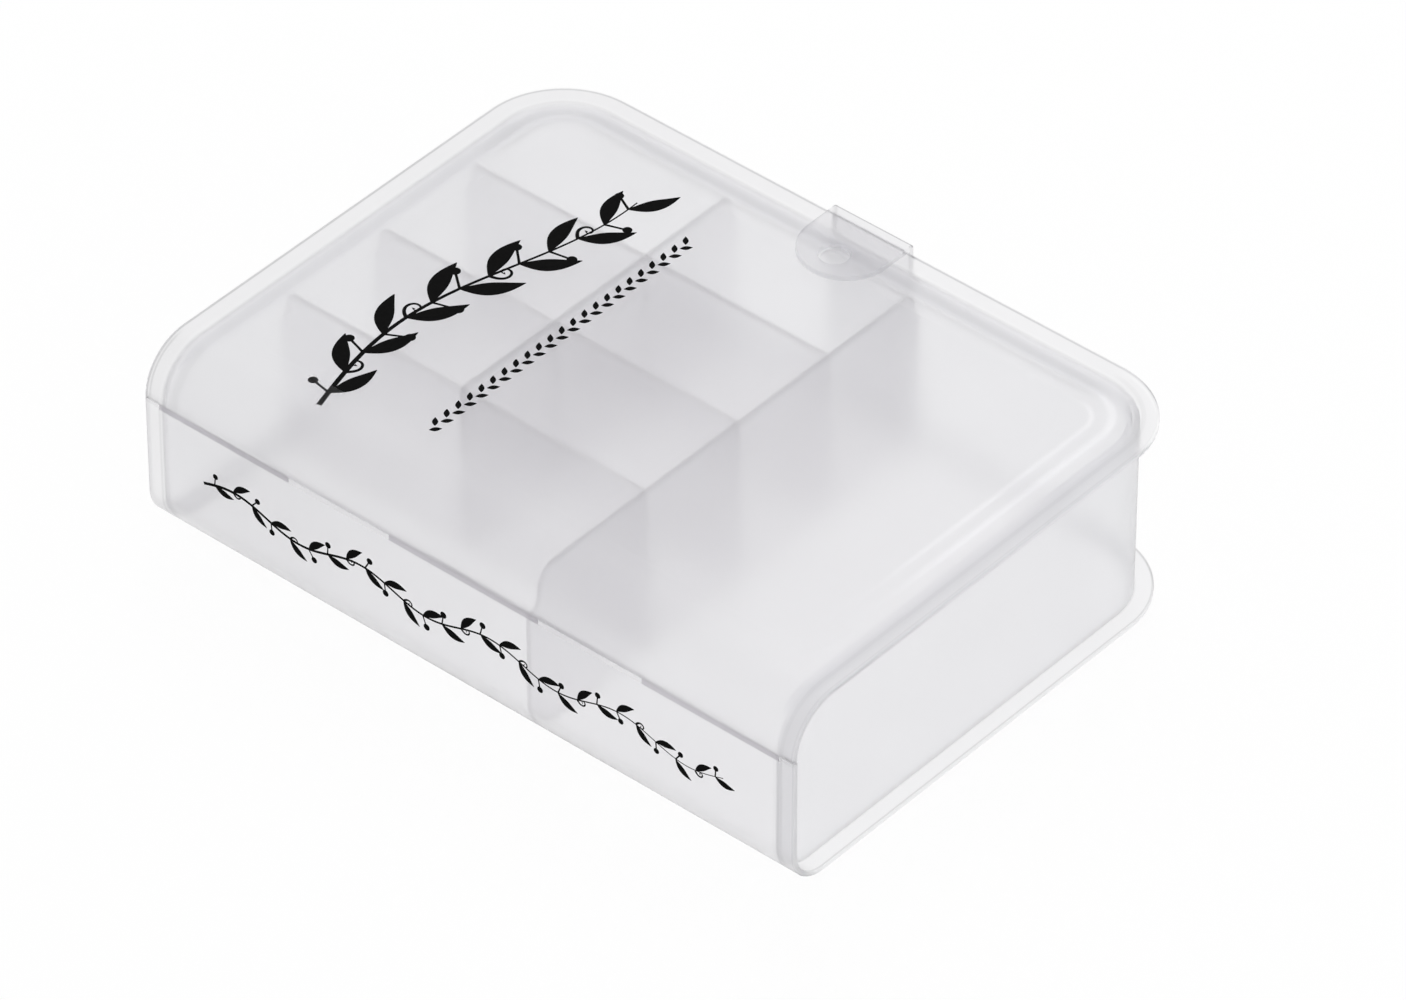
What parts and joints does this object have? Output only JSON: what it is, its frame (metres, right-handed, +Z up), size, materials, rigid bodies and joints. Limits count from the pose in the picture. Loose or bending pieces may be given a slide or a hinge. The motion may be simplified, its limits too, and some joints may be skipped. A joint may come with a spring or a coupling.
{
  "type": "cable organizer box",
  "caption": "Flat frosted see-through organizer box made like a book: spine, set-in page wall, dividers, film-hinged lid and a fold-over latch.",
  "frame": {"origin": "middle of the base cover's flat underside", "axes": "+X along the hinge, +Y from the spine to the latch's edge, +Z up from the underside to the lid"},
  "size_m": [0.22, 0.1618, 0.0598],
  "materials": {
    "cover_plastic": "frosted, see-through",
    "wall_plastic": "frosted, see-through",
    "divider_plastic": "frosted, see-through",
    "latch_plastic": "smooth, see-through",
    "film_plastic": "frosted film",
    "print_ink": "flat black ink"
  },
  "bodies": {
    "base": {"base_cover": "cover_plastic", "page_wall": "wall_plastic", "long_divider": "divider_plastic", "cross_divider_front": "divider_plastic", "cross_divider_middle": "divider_plastic", "cross_divider_rear": "divider_plastic", "short_divider_front": "divider_plastic", "short_divider_middle": "divider_plastic", "short_divider_rear": "divider_plastic", "hinge_strip_left": "film_plastic", "hinge_strip_middle": "film_plastic", "hinge_strip_right": "film_plastic", "latch_hinge_strip": "film_plastic"},
    "lid": {"lid_cover": "cover_plastic", "lid_rib": "wall_plastic"},
    "latch": {"latch_clasp": "latch_plastic"}
  },
  "joints": [
    {"name": "lid_hinge", "type": "hinge", "parent": "base", "child": "lid", "pos_m": [0, -0.08015, 0.0422], "axis": [1, 0, 0], "range_deg": [0, 180], "deforming": ["hinge_strip_left", "hinge_strip_middle", "hinge_strip_right"]},
    {"name": "latch_hinge", "type": "hinge", "parent": "base", "child": "latch", "pos_m": [0, 0.08039, 0.00141], "axis": [-1, 0, 0], "range_deg": [0, 90], "deforming": ["latch_hinge_strip"]}
  ]
}
